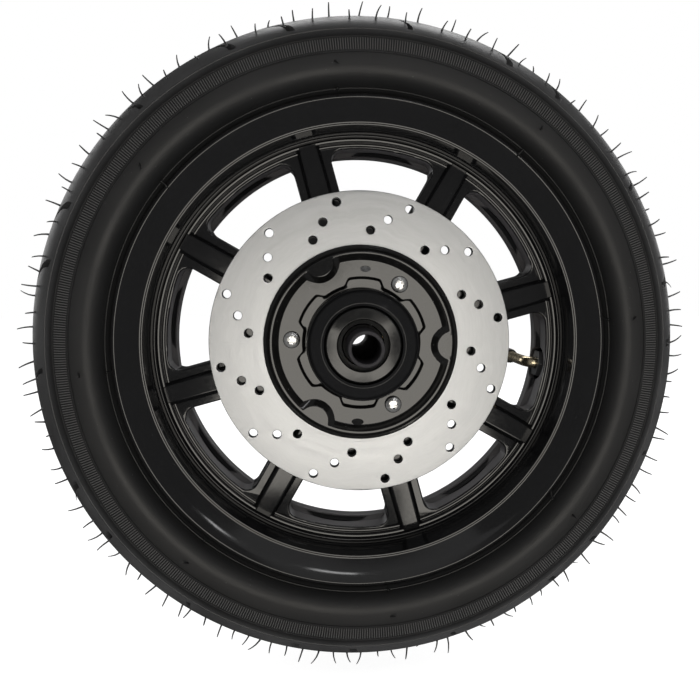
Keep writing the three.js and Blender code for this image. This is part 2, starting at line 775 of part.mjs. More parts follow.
addTyre();
addInnerTube();
addCasting();
addBrakeDisc();
addCoverPlate();
addDiscScrews();
addBearing('disc_side_bearing', -bearingSpread / 2);
addBearing('far_side_bearing', bearingSpread / 2);
addSpacers();
addDustCovers();
addValve();

export default wheel;
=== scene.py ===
# Looks for the scooter wheel. Metres, the axle along Y, the disc side towards -Y, +Z up.
# Lengths in the pieces' dictionaries are millimetres, and angles are degrees from +X towards +Z.
import math
import random

import bpy
from mathutils import Matrix, Vector


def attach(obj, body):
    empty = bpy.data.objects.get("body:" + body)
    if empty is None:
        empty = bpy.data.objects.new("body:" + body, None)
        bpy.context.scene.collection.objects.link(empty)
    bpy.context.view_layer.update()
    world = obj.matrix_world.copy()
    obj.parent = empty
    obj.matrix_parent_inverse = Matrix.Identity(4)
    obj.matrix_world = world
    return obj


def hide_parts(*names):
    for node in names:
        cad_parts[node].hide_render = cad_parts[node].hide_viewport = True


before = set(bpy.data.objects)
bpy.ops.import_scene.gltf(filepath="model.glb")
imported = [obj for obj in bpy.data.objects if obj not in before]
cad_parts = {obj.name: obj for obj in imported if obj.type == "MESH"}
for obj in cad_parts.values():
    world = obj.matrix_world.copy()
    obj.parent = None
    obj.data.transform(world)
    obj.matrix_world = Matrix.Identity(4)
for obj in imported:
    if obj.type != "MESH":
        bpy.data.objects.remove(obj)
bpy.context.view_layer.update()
mm = 0.001


def setMode(name):
    bpy.ops.object.mode_set(mode=name)


def deselect():
    if bpy.context.object and bpy.context.object.mode != "OBJECT":
        setMode("OBJECT")
    bpy.ops.object.select_all(action="DESELECT")


def selectOnly(obj):
    deselect()
    obj.select_set(True)
    bpy.context.view_layer.objects.active = obj


def added(operator, **settings):
    deselect()
    operator(**settings)
    return bpy.context.object


def applyModifiers(obj):
    selectOnly(obj)
    for modifier in list(obj.modifiers):
        bpy.ops.object.modifier_apply(modifier=modifier.name)


def applyPlace(obj):
    selectOnly(obj)
    bpy.ops.object.transform_apply(location=True, rotation=True, scale=True)


def smooth(obj, degrees):
    selectOnly(obj)
    bpy.ops.object.shade_smooth_by_angle(angle=math.radians(degrees))


def edited(obj, action="SELECT"):  # into edit mode, with all or none of the mesh selected
    selectOnly(obj)
    setMode("EDIT")
    bpy.ops.mesh.select_all(action=action)


def cleanUp(obj, distance=2e-6):
    edited(obj)
    bpy.ops.mesh.remove_doubles(threshold=distance)
    bpy.ops.mesh.normals_make_consistent(inside=False)
    setMode("OBJECT")


def named(obj, name):
    obj.name = obj.data.name = name
    return obj


def bevelled(obj, width, segments=3, degrees=30):
    bevel = obj.modifiers.new("edges", "BEVEL")
    bevel.width = width * mm
    bevel.segments = segments
    bevel.limit_method = "ANGLE"
    bevel.angle_limit = math.radians(degrees)
    bevel.harden_normals = False
    applyModifiers(obj)
    return obj


def cutWith(obj, cutter):
    boolean = obj.modifiers.new("cut", "BOOLEAN")
    boolean.operation = "DIFFERENCE"
    boolean.solver = "EXACT"
    boolean.object = cutter
    applyModifiers(obj)
    bpy.data.objects.remove(cutter)


def joined(name, objects):
    deselect()
    for obj in objects:
        obj.select_set(True)
    bpy.context.view_layer.objects.active = objects[0]
    bpy.ops.object.join()
    return named(bpy.context.object, name)


def copyOf(obj):  # with its own mesh
    copy = obj.copy()
    copy.data = obj.data.copy()
    bpy.context.collection.objects.link(copy)
    return copy


def spun(degrees, axis="Y"):
    return Matrix.Rotation(math.radians(degrees), 4, axis)


def aroundAxle(obj, degrees):  # a copy turned from +X towards +Z
    copy = copyOf(obj)
    copy.data.transform(spun(-degrees))
    return copy


def ringOf(name, obj, count, start):
    copies = [aroundAxle(obj, start + 360 * i / count) for i in range(count)]
    bpy.data.objects.remove(obj)
    return joined(name, copies)


def rod(radius, depth, sides, axis, place=(0, 0, 0)):  # a cylinder along X or Y
    turn = (0, math.pi / 2, 0) if axis == "X" else (math.pi / 2, 0, 0)
    cylinder = added(
        bpy.ops.mesh.primitive_cylinder_add, vertices=sides, radius=radius * mm, depth=depth * mm,
        rotation=turn, location=[c * mm for c in place])
    applyPlace(cylinder)
    return cylinder


def away(angle, degrees):  # how far an angle lies from a direction, in radians
    return (angle - math.radians(degrees) + math.pi) % (2 * math.pi) - math.pi


# A section's corners are (radius, place along the axle, fillet); the fillets become short arcs.
def rounded(corners, steps):
    points = []
    for i, (r, y, fillet) in enumerate(corners):
        here = Vector((r, y))
        if not fillet:
            points.append((r, y))
            continue
        before = Vector(corners[i - 1][:2]) - here
        after = Vector(corners[(i + 1) % len(corners)][:2]) - here
        half = before.angle(after) / 2
        reach = min(fillet / math.tan(half), before.length * 0.49, after.length * 0.49)
        size = reach * math.tan(half)
        middle = here + (before.normalized() + after.normalized()).normalized() * size / math.sin(half)
        first = here + before.normalized() * reach - middle
        last = here + after.normalized() * reach - middle
        sweep = math.atan2(first.x * last.y - first.y * last.x, first.dot(last))
        for k in range(steps + 1):
            c, s = math.cos(sweep * k / steps), math.sin(sweep * k / steps)
            points.append((middle.x + first.x * c - first.y * s, middle.y + first.x * s + first.y * c))
    return points


# A ring round the axle: a circle is extruded from one stop of the section to the next. A radius or a
# place may be a function of the angle.
def turnedRing(name, section, count, degrees=32):
    circles = bpy.ops.mesh.primitive_circle_add
    ring = named(added(circles, vertices=count, radius=1, rotation=(math.pi / 2, 0, 0)), name)
    applyPlace(ring)
    edited(ring)
    for i, (r, y) in enumerate(list(section) + [section[0]]):
        if i:
            bpy.ops.mesh.extrude_edges_move()
        setMode("OBJECT")
        for v in ring.data.vertices:
            if v.select:
                angle = math.atan2(v.co.z, v.co.x)
                radius = (r(angle) if callable(r) else r) * mm
                place = (y(angle) if callable(y) else y) * mm
                v.co = (radius * math.cos(angle), place, radius * math.sin(angle))
        setMode("EDIT")
    setMode("OBJECT")
    cleanUp(ring)
    smooth(ring, degrees)
    return ring


# A plate cut from flat outlines, the first outside and the others holes, with round edges.
def cutPlate(name, outlines, front, back, edge):
    curve = added(bpy.ops.curve.primitive_bezier_circle_add, radius=0.01)
    curve.data.splines.clear()
    for outline in outlines:
        spline = curve.data.splines.new("POLY")
        spline.points.add(len(outline) - 1)
        for point, (x, z) in zip(spline.points, outline):
            point.co = (x * mm, z * mm, 0, 1)
        spline.use_cyclic_u = True
    curve.data.dimensions = "2D"
    curve.data.fill_mode = "BOTH"
    curve.data.bevel_depth = edge * mm
    curve.data.bevel_resolution = 2
    curve.data.offset = -edge * mm
    curve.data.extrude = ((back - front) / 2 - edge) * mm
    curve.rotation_euler = (math.pi / 2, 0, 0)
    curve.location = (0, (front + back) / 2 * mm, 0)
    bpy.ops.object.convert(target="MESH")
    plate = named(bpy.context.object, name)
    applyPlace(plate)
    cleanUp(plate, 1e-6)
    smooth(plate, 30)
    return plate


def circle(radius, count, x=0, z=0):
    steps = [2 * math.pi * i / count for i in range(count)]
    return [(x + radius * math.cos(a), z + radius * math.sin(a)) for a in steps]


def polar(radius, degrees):
    return radius * math.cos(math.radians(degrees)), radius * math.sin(math.radians(degrees))


def dress(piece, material, body, slot, *replaced):
    weigh = piece.modifiers.new("normals", "WEIGHTED_NORMAL")  # flats stay flat beside their rounded edges
    weigh.keep_sharp = True
    applyModifiers(piece)
    piece.data.materials.clear()
    piece.data.materials.append(material)
    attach(piece, body)
    if replaced:
        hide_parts(*replaced)


# materials


class Nodes:  # a short way to add and link nodes in one tree
    def __init__(self, tree):
        self.tree = tree

    def add(self, kind, inputs=None, **settings):
        node = self.tree.nodes.new(kind)
        for key, value in settings.items():
            setattr(node, key, value)
        for key, value in (inputs or {}).items():
            if hasattr(value, "is_output"):
                self.tree.links.new(value, node.inputs[key])
            else:
                node.inputs[key].default_value = value
        return node

    def math(self, operation, a, b=0.0, clamp=False):
        return self.add("ShaderNodeMath", {0: a, 1: b}, operation=operation, use_clamp=clamp).outputs[0]

    def times(self, a, b, clamp=False):
        return self.math("MULTIPLY", a, b, clamp)

    def mapped(self, value, low, high, first=0.0, last=1.0, **settings):
        inputs = {"Value": value, "From Min": low, "From Max": high, "To Min": first, "To Max": last}
        return self.add("ShaderNodeMapRange", inputs, **settings).outputs[0]

    def noise(self, place, scale, detail, distortion=0.0):
        inputs = {"Vector": place, "Scale": scale, "Detail": detail, "Distortion": distortion}
        return self.add("ShaderNodeTexNoise", inputs).outputs[0]

    def place(self):
        return self.add("ShaderNodeTexCoord").outputs["Object"]

    def link(self, output, target):
        self.tree.links.new(output, target)


def startGroup(name, inputs, outputs):
    group = bpy.data.node_groups.new(name, "ShaderNodeTree")
    for direction, sockets in (("INPUT", inputs), ("OUTPUT", dict.fromkeys(outputs, 0.0))):
        for socket, value in sockets.items():
            made = group.interface.new_socket(socket, in_out=direction, socket_type="NodeSocketFloat")
            made.default_value = value
    return group, Nodes(group)


# Fine grain for moulded, cast and brushed surfaces: a value round 0.5 and a height.
def makeGrain():
    inputs = {"Scale": 900.0, "Blotch Scale": 60.0, "Blotches": 0.4}
    group, n = startGroup("fineGrain", inputs, ("Value", "Height"))
    given = n.add("NodeGroupInput").outputs
    place = n.place()
    fine = n.noise(place, given["Scale"], 3.0)
    broad = n.noise(place, given["Blotch Scale"], 4.0)
    mix = n.add("ShaderNodeMix", {"Factor": given["Blotches"], 2: fine, 3: broad})
    result = n.add("NodeGroupOutput")
    n.link(mix.outputs[0], result.inputs["Value"])
    n.link(fine, result.inputs["Height"])
    return group


# Sparse light specks of dust, as a mask.
def makeDust():
    group, n = startGroup("dustSpecks", {"Scale": 500.0, "Amount": 0.1}, ("Mask",))
    given = n.add("NodeGroupInput").outputs
    cells = n.add("ShaderNodeTexVoronoi", {"Vector": n.place(), "Scale": given["Scale"]}).outputs
    size = n.times(n.add("ShaderNodeSeparateColor", {"Color": cells["Color"]}).outputs[0], given["Amount"])
    mask = n.times(n.math("SUBTRACT", size, cells["Distance"]), 12.0, clamp=True)
    n.link(mask, n.add("NodeGroupOutput").inputs["Mask"])
    return group


# The radius and the angle round the axle, and the place along it, in metres and turns.
def makeRound():
    group, n = startGroup("roundTheAxle", {}, ("Radius", "Turns", "Along"))
    part = n.add("ShaderNodeSeparateXYZ", {0: n.place()}).outputs
    square = n.math("ADD", n.times(part[0], part[0]), n.times(part[2], part[2]))
    turns = n.math("DIVIDE", n.math("ARCTAN2", part[2], part[0]), 2 * math.pi)
    result = n.add("NodeGroupOutput")
    for socket, value in (("Radius", n.math("SQRT", square)), ("Turns", turns), ("Along", part[1])):
        n.link(value, result.inputs[socket])
    return group


grainGroup = makeGrain()
dustGroup = makeDust()
roundGroup = makeRound()


def startMaterial(name, **sockets):
    material = bpy.data.materials.new(name)
    material.use_nodes = True
    n = Nodes(material.node_tree)
    shader = material.node_tree.nodes["Principled BSDF"]
    for key, value in sockets.items():
        shader.inputs[key.replace("_", " ").title()].default_value = value
    return material, n, shader


def grey(level):
    return level, level, level, 1


def grain(n, scale, blotchScale=60.0, blotches=0.4):
    inputs = {"Scale": scale, "Blotch Scale": blotchScale, "Blotches": blotches}
    return grouped(n, grainGroup, inputs)


def dust(n, scale, amount):
    return grouped(n, dustGroup, {"Scale": scale, "Amount": amount})["Mask"]


def grouped(n, group, inputs=None):
    node = n.add("ShaderNodeGroup", node_tree=group)
    for key, value in (inputs or {}).items():
        node.inputs[key].default_value = value
    return node.outputs


def spread(n, value, low, high):  # maps 0.3..0.7 of a noise to a range
    return n.mapped(value, 0.3, 0.7, low, high)


def blendColour(n, factor, first, second):
    return n.add("ShaderNodeMix", {0: factor, 6: first, 7: second}, data_type="RGBA").outputs[2]


def bumped(n, shader, height, distance, strength=1.0):
    node = n.add("ShaderNodeBump", {"Height": height, "Distance": distance * mm, "Strength": strength})
    n.link(node.outputs[0], shader.inputs["Normal"])


dustColour = (0.16, 0.16, 0.155, 1)


def moulded(name, dark, light, rough, grainScale, depth, specks=0.0, blotches=(60.0, 0.4), **sockets):
    material, n, shader = startMaterial(name, **sockets)
    noise = grain(n, grainScale, *blotches)
    colour = blendColour(n, spread(n, noise["Value"], 0.0, 1.0), dark, light)
    if specks:
        colour = blendColour(n, dust(n, 420.0, specks), colour, dustColour)
    n.link(colour, shader.inputs["Base Color"])
    n.link(spread(n, noise["Value"], *rough), shader.inputs["Roughness"])
    bumped(n, shader, noise["Height"], depth)
    return material


def band(n, value, low, high, soft):  # 1 between two radii, with soft edges
    down = n.mapped(value, high, high + soft)
    return n.times(n.mapped(value, low - soft, low), n.math("SUBTRACT", 1.0, down))


tyreLooks = {
    "dark": (0.0042, 0.0041, 0.0042, 1), "light": (0.0100, 0.0098, 0.0100, 1), "rough": (0.42, 0.56),
    "ribs": 768, "ribInner": 126.6, "ribOuter": 131.6, "ribDepth": 0.3,
    "crest": (0.055, 0.054, 0.053, 1), "valleyPaintedShade": grey(0.004),
    "shoulder": 133.5, "shoulderPaintedLight": (0.055, 0.055, 0.056, 1), "foot": 110.5, "footShade": 0.25,
    "footPaintedShade": grey(0.003), "specks": grey(0.09), "footFade": 8, "shoulderFade": 4,
}


def tyreRubber():
    looks = tyreLooks
    material, n, shader = startMaterial("tyreRubber")
    noise = grain(n, 1400.0, 34.0, 0.55)
    fraction = spread(n, noise["Value"], 0.0, 1.0)
    around = grouped(n, roundGroup)
    foot, start = looks["foot"] * mm, looks["shoulder"] * mm
    # Painted shade: towards the rim flange the sidewall is darkened by footShade and then coloured almost
    # black, for the crease between tyre and rim.
    rise = n.mapped(around["Radius"], foot, foot + looks["footFade"] * mm, looks["footShade"], 1.0)
    colour = blendColour(n, n.times(fraction, rise), looks["dark"], looks["light"])
    colour = blendColour(n, rise, looks["footPaintedShade"], colour)
    # Painted light: a lighter band, mottled by the grain, on the tread shoulder where it catches the light.
    shoulder = n.mapped(around["Radius"], start, start + looks["shoulderFade"] * mm)
    paintedShoulderMask = n.times(shoulder, spread(n, noise["Value"], 0.3, 1.0))
    colour = blendColour(n, paintedShoulderMask, colour, looks["shoulderPaintedLight"])
    colour = blendColour(n, dust(n, 380.0, 0.1), colour, looks["specks"])
    # Painted light and shade on the fine ribs: the crests are coloured light and the valleys dark, besides
    # the ribs' bump.
    wave = n.math("SINE", n.times(around["Turns"], 2 * math.pi * looks["ribs"]))
    where = band(n, around["Radius"], looks["ribInner"] * mm, looks["ribOuter"] * mm, 0.3 * mm)
    crest = n.math("ADD", n.times(wave, 2.0), 0.5, clamp=True)
    paintedRibLightAndShade = blendColour(n, crest, looks["valleyPaintedShade"], looks["crest"])
    colour = blendColour(n, where, colour, paintedRibLightAndShade)
    n.link(colour, shader.inputs["Base Color"])
    n.link(spread(n, noise["Value"], *looks["rough"]), shader.inputs["Roughness"])
    ribs = n.times(n.times(wave, 0.5), where)
    fine = n.add("ShaderNodeBump", {"Height": noise["Height"], "Distance": 0.05 * mm, "Strength": 0.6})
    coarse = n.add("ShaderNodeBump", {"Height": ribs, "Distance": looks["ribDepth"] * mm})
    n.link(fine.outputs[0], coarse.inputs["Normal"])
    n.link(coarse.outputs[0], shader.inputs["Normal"])
    return material


discLooks = {
    "light": (0.49, 0.498, 0.51, 1), "dark": (0.36, 0.366, 0.374, 1), "rough": (0.30, 0.42),
    "swirls": 26.0, "lines": 520.0,
}


# Soft brush marks: noise drawn out round the axle and pushed about by a slower noise.
def brushedDisc():
    looks = discLooks
    material, n, shader = startMaterial("discSteel", metallic=1.0)
    around = grouped(n, roundGroup)
    drift = n.noise(n.place(), looks["swirls"], 3.0, 1.6)
    bent = n.math("ADD", around["Radius"], n.times(drift, 0.012))

    def drawnOut(across, turns, detail):
        way = n.add("ShaderNodeCombineXYZ", {0: n.times(bent, across), 1: n.times(around["Turns"], turns)})
        return n.noise(way.outputs[0], 1.0, detail)

    marks = drawnOut(240.0, 5.0, 4.0)
    scratches = drawnOut(looks["lines"] * 8, 60.0, 2.0)
    both = n.math("ADD", n.times(marks, 0.75), n.times(scratches, 0.25))
    colour = blendColour(n, spread(n, both, 0.0, 1.0), looks["dark"], looks["light"])
    n.link(colour, shader.inputs["Base Color"])
    n.link(spread(n, both, *looks["rough"]), shader.inputs["Roughness"])
    bumped(n, shader, scratches, 0.02, 0.5)
    return material


castLooks = {
    "dark": (0.0030, 0.0030, 0.0032, 1), "light": (0.0050, 0.0050, 0.0053, 1), "rough": (0.06, 0.11),
    "wallInner": 87.3, "wallOuter": 90.1, "wallFront": -6.1, "wallBack": 12.0,
    "satin": (0.058, 0.055, 0.057, 1), "satinRough": 0.46,
    "windowMiddle": 37.7, "shadeLensBack": 4.8, "shadeLensDepth": 3.8,
}


# Gloss black paint. The openings' walls are satin, with a dark lens-shaped patch of painted shade in the
# middle of each.
def castFinish():
    looks = castLooks
    material, n, shader = startMaterial("castBlack")
    noise = grain(n, 700.0)
    colour = blendColour(n, spread(n, noise["Value"], 0.0, 1.0), looks["dark"], looks["light"])
    colour = blendColour(n, dust(n, 420.0, 0.07), colour, dustColour)
    around = grouped(n, roundGroup)
    radius, along, soft = around["Radius"], around["Along"], 0.4 * mm
    ringWall = band(n, radius, looks["wallInner"] * mm, looks["wallOuter"] * mm, soft)
    wall = n.times(ringWall, band(n, along, looks["wallFront"] * mm, looks["wallBack"] * mm, soft))
    turned = n.math("SUBTRACT", around["Turns"], looks["windowMiddle"] / 360)
    share = n.math("COSINE", n.times(turned, 2 * math.pi * 8), clamp=True)
    # The lens is painted shade: inside it the wall keeps the dark gloss black instead of the satin.
    shadeLensFront = n.math("SUBTRACT", looks["shadeLensBack"] * mm, n.times(share, looks["shadeLensDepth"] * mm))
    ahead = n.times(n.math("SUBTRACT", along, shadeLensFront), 1200.0, clamp=True)
    behind = n.times(n.math("SUBTRACT", looks["shadeLensBack"] * mm, along), 2500.0, clamp=True)
    lens = n.times(ahead, behind)
    satin = n.times(wall, n.math("SUBTRACT", 1.0, lens))
    colour = blendColour(n, satin, colour, looks["satin"])
    n.link(colour, shader.inputs["Base Color"])
    gloss = spread(n, noise["Value"], *looks["rough"])
    rough = n.add("ShaderNodeMix", {"Factor": satin, 2: gloss, 3: looks["satinRough"]})
    n.link(rough.outputs[0], shader.inputs["Roughness"])
    bumped(n, shader, noise["Height"], 0.002)
    return material


def metalFinish(*looks):
    return moulded(*looks, blotches=(160.0, 0.5), metallic=1.0)


rubber = tyreRubber()
discSteel = brushedDisc()
castBlack = castFinish()
plateBlack = moulded(
    "plateBlack", grey(0.003), (0.007, 0.0068, 0.0065, 1), (0.06, 0.13), 500.0, 0.003, 0.10)
coverGloss = moulded(
    "coverGloss", grey(0.004), (0.007, 0.007, 0.0068, 1), (0.08, 0.17), 420.0, 0.004, 0.08)
tubeRubber = moulded("tubeRubber", grey(0.012), grey(0.02), (0.5, 0.65), 900.0, 0.04)
sealRubber = moulded("sealRubber", grey(0.005), grey(0.009), (0.55, 0.7), 1200.0, 0.02)
coverPlastic = moulded(
    "coverPlastic", (0.010, 0.010, 0.011, 1), grey(0.018), (0.28, 0.42), 1600.0, 0.02, 0.08)
spacerSteel = moulded(
    "spacerSteel", (0.014, 0.013, 0.0145, 1), (0.026, 0.024, 0.027, 1), (0.55, 0.72), 1800.0, 0.02)
zinc = metalFinish("zincSteel", grey(0.38), (0.80, 0.80, 0.79, 1), (0.20, 0.36), 600.0, 0.06)
bearingSteel = metalFinish("bearingSteel", grey(0.42), grey(0.56), (0.16, 0.26), 2200.0, 0.008)
raceSteel = metalFinish("raceSteel", grey(0.012), (0.03, 0.029, 0.029, 1), (0.5, 0.65), 2200.0, 0.008)
cageBrass = metalFinish(
    "cageBrass", (0.50, 0.38, 0.17, 1), (0.66, 0.52, 0.26, 1), (0.28, 0.40), 1500.0, 0.02)
valveBrass = metalFinish(
    "valveBrass", (0.60, 0.50, 0.33, 1), (0.78, 0.68, 0.48, 1), (0.20, 0.34), 1400.0, 0.015)
print("materials made")

# The CAD nodes that stay get their finish by name.
nodeFinish = {
    "inner_tube": tubeRubber, "centre_spacer": spacerSteel, "valve_core": zinc,
    "cage": cageBrass, "ball": bearingSteel,
}
for nodeName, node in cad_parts.items():
    finish = nodeFinish.get(nodeName) or nodeFinish.get(nodeName.rstrip("_1234567").split("_")[-1]) or zinc
    node.data.materials.clear()
    node.data.materials.append(finish)

# tyre
tyre = {
    "radius": 150, "crown": 50, "treadHalf": 25, "half": 38, "widest": 120, "flange": 109.7,
    "grooveDepth": 2.6, "grooveWidth": 4.4, "repeats": 7, "sweep": 13, "pairing": 10.8,
    "third": (30, 0.4, 0.7), "foot": (1.4, -31.6), "bulge": 4.6,
    "bead": ((108.8, -28.7), (104.5, -26.6), (101.8, -25.8), (101.8, -18.2)),
    "insideLow": ((106.4, -18.5), (109.7, -33.4), (120, -33.4)),
    "insideHigh": ((120, -33.4), (140.5, -32.4), (142.5, 0)),
    "rings": ((125.4, 0.35), (132.6, 0.3), (111.4, 0.3), (136.5, 0.25)), "ringsFrom": -28,
}
crownMiddle = tyre["radius"] - tyre["crown"]


def quadratic(a, b, c, t):
    return tuple(a[i] * (1 - t) ** 2 + 2 * b[i] * t * (1 - t) + c[i] * t * t for i in range(2))


def tyreSide():
    lean = math.asin(tyre["treadHalf"] / tyre["crown"])
    side = []
    for i in range(15):
        a = lean * i / 14
        side.append((crownMiddle + tyre["crown"] * math.cos(a), -tyre["crown"] * math.sin(a)))
    shoulder = side[-1]
    drop = (tyre["half"] - tyre["treadHalf"]) * math.tan(lean)
    knee = (shoulder[0] - drop, -tyre["half"])
    widest = (tyre["widest"], -tyre["half"])
    for i in range(1, 17):
        side.append(quadratic(shoulder, knee, widest, i / 16))
    rise, along = tyre["foot"]
    toRim = (tyre["flange"] + rise, along)
    for i in range(1, 11):
        side.append(quadratic(widest, (tyre["flange"] + tyre["bulge"], -tyre["half"]), toRim, i / 10))
    return side


def raisedRings(side):  # fine rings on the side: where they stand and how high
    result = []
    for (r0, y0), (r1, y1) in zip(side, side[1:]):
        result.append((r0, y0))
        for ringRadius, height in tyre["rings"]:
            if min(r0, r1) < ringRadius < max(r0, r1) and y0 < tyre["ringsFrom"]:
                dr, dy = r1 - r0, y1 - y0
                length = math.hypot(dr, dy)
                nr, ny = -dy / length, dr / length
                if ny > 0:
                    nr, ny = -nr, -ny
                for offset, lift in ((-0.35, 0), (-0.15, height), (0.15, height), (0.35, 0)):
                    t = (ringRadius - r0) / dr + offset / length
                    result.append((r0 + dr * t + nr * lift, y0 + dy * t + ny * lift))
    return result + [side[-1]]


inner = [quadratic(*tyre["insideLow"], i / 8) for i in range(9)]
inner += [quadratic(*tyre["insideHigh"], i / 10) for i in range(1, 11)]
half = raisedRings(tyreSide()) + list(tyre["bead"])
section = half + inner + [(r, -y) for r, y in reversed(inner[:-1])] + [(r, -y) for r, y in reversed(half[1:])]
tyreBody = turnedRing("tyre_skin", section, 336, 40)
print("tyre turned")


# A curved groove runs in from a shoulder of the tread. It is a cube drawn out along its way.
def treadGroove(sideSign, degrees, share=1.0, wide=1.0):
    groove = added(bpy.ops.mesh.primitive_cube_add, size=1)
    stations = 9
    start = math.asin(tyre["treadHalf"] / tyre["crown"]) * 1.3
    edited(groove, "DESELECT")
    setMode("OBJECT")
    corners = {v.index: (1 if v.co.x > 0 else -1, 1 if v.co.z > 0 else -1) for v in groove.data.vertices}
    front = [v.index for v in groove.data.vertices if v.co.y > 0]

    def station(t, edge, level):
        lean = start * (1 - t * share * 0.86)
        turn = math.radians(degrees + tyre["sweep"] * (t * share) ** 2)
        halfWidth = tyre["grooveWidth"] * wide / 2 * (1 - 0.35 * t) / tyre["radius"]
        height = tyre["crown"] + (3.0 if level > 0 else -tyre["grooveDepth"] * (1 - 0.25 * t))
        r = crownMiddle + height * math.cos(lean)
        angle = turn + sideSign * edge * halfWidth * (1.0 if level > 0 else 0.72)
        return (r * math.cos(angle) * mm, sideSign * height * math.sin(lean) * mm, r * math.sin(angle) * mm)

    for v in groove.data.vertices:
        v.co = station(1 / stations if v.index in front else 0, *corners[v.index])
    for face in groove.data.polygons:
        face.select = all(i in front for i in face.vertices)
    levels = {
        tuple(round(c, 7) for c in station(1 / stations, *corners[v])): corners[v] for v in front}
    for k in range(2, stations + 1):
        setMode("EDIT")
        bpy.ops.mesh.select_mode(type="FACE")
        bpy.ops.mesh.extrude_region_move()
        setMode("OBJECT")
        following = {}
        for v in groove.data.vertices:
            if v.select:
                corner = min(levels, key=lambda c: (Vector(c) - v.co).length)
                v.co = station(k / stations, *levels[corner])
                following[tuple(v.co)] = levels[corner]
        levels = following
    return groove


cutters = []
for i in range(tyre["repeats"]):
    turn = 360 / tyre["repeats"]
    for sideSign, start in ((-1, 0), (1, turn / 2)):
        for offset, *sizes in ((0,), (tyre["pairing"],), tyre["third"]):
            cutters.append(treadGroove(sideSign, start + i * turn + offset, *sizes))
grooves = joined("grooves", cutters)
cleanUp(grooves)
cutWith(tyreBody, grooves)
print("tread cut")


# Along each row of hairs: place, count, stagger, shortest and longest. On the side: radius, place, length.
hairs = {
    "width": 0.85, "sink": 0.4, "bends": (0.5, 1.2, 2.0, 2.8), "sideStart": 5.7, "sideCount": 8,
    "stations": ((0.0, 1.9), (0.08, 1.1), (0.22, 0.95), (0.5, 0.85), (0.78, 0.75), (1.0, 0.55)),
    "rows": ((-25.5, 66, 0.0, 4.2, 7.0), (-14.0, 66, 0.55, 4.8, 7.6)),
    "side": ((121.5, -37.9, 2.4), (111.0, -33.6, 3.6)),
}


# A vent hair: a flared foot and a thin stalk that bends over, drawn out from a small circle.
def ventHair(name, bend):
    hair = named(added(bpy.ops.mesh.primitive_circle_add, vertices=6, radius=1), name)
    unit = [v.co.copy() for v in hair.data.vertices]
    edited(hair)
    for i, (share, wide) in enumerate(hairs["stations"]):
        if i:
            bpy.ops.mesh.extrude_edges_move()
        setMode("OBJECT")
        moving = [v for v in hair.data.vertices if v.select]
        for v, corner in zip(moving, unit):
            across = [c * wide * hairs["width"] / 2 for c in (corner.x, corner.y)]
            v.co = (across[0] + bend * share ** 2, across[1], share)
        setMode("EDIT")
    bpy.ops.mesh.edge_face_add()
    setMode("OBJECT")
    cleanUp(hair, 1e-5)
    return hair


def plantHair(pattern, length, foot, outward, degrees, mirror, rng):
    hair = copyOf(pattern)
    spin = Matrix.Rotation(rng.uniform(0, 2 * math.pi), 4, "Z")
    tilts = [Matrix.Rotation(rng.uniform(-0.25, 0.25), 4, axis) for axis in "XY"]
    grow = Matrix.Diagonal((mm, mm, length * mm, 1))
    turn = Matrix.Rotation(math.atan2(-outward[1], outward[0]), 4, "X")
    place = Matrix.Translation((0, foot[1] * mm, foot[0] * mm))
    around = spun(90 - degrees)
    flip = Matrix.Diagonal((1, -1 if mirror else 1, 1, 1))
    hair.data.transform(flip @ around @ place @ turn @ (tilts[0] @ tilts[1]) @ spin @ grow)
    if mirror:
        hair.data.flip_normals()
    return hair


def ventHairs():
    rng = random.Random(11)
    patterns = [ventHair(f"hair_{i}", bend) for i, bend in enumerate(hairs["bends"])]
    planted = []
    for along, count, stagger, shortest, longest in hairs["rows"]:
        lean = math.asin(-along / tyre["crown"])
        reach = tyre["crown"] - hairs["sink"]
        foot = (crownMiddle + reach * math.cos(lean), -reach * math.sin(lean))
        for mirror in (False, True):
            for i in range(count):
                degrees = (i + stagger + rng.uniform(-0.12, 0.12)) * 360 / count
                length = rng.uniform(shortest, longest) * (0.45 if rng.random() < 0.14 else 1)
                outward = (math.cos(lean), -math.sin(lean))
                planted.append(plantHair(rng.choice(patterns), length, foot, outward, degrees, mirror, rng))
    for radius, along, length in hairs["side"]:
        for mirror in (False, True):
            for i in range(hairs["sideCount"]):
                degrees = hairs["sideStart"] + i * 360 / hairs["sideCount"]
                outward = (-0.3, -1.0) if radius > 115 else (-0.9, -0.5)
                planted.append(plantHair(patterns[2], length, (radius, along), outward, degrees, mirror, rng))
    for pattern in patterns:
        bpy.data.objects.remove(pattern)
    return joined("hairs", planted)


ventRows = ventHairs()
smooth(ventRows, 60)
dress(joined("tyre_skin", [tyreBody, ventRows]), rubber, "wheel", "tyre", "tyre")
print("tyre finished")

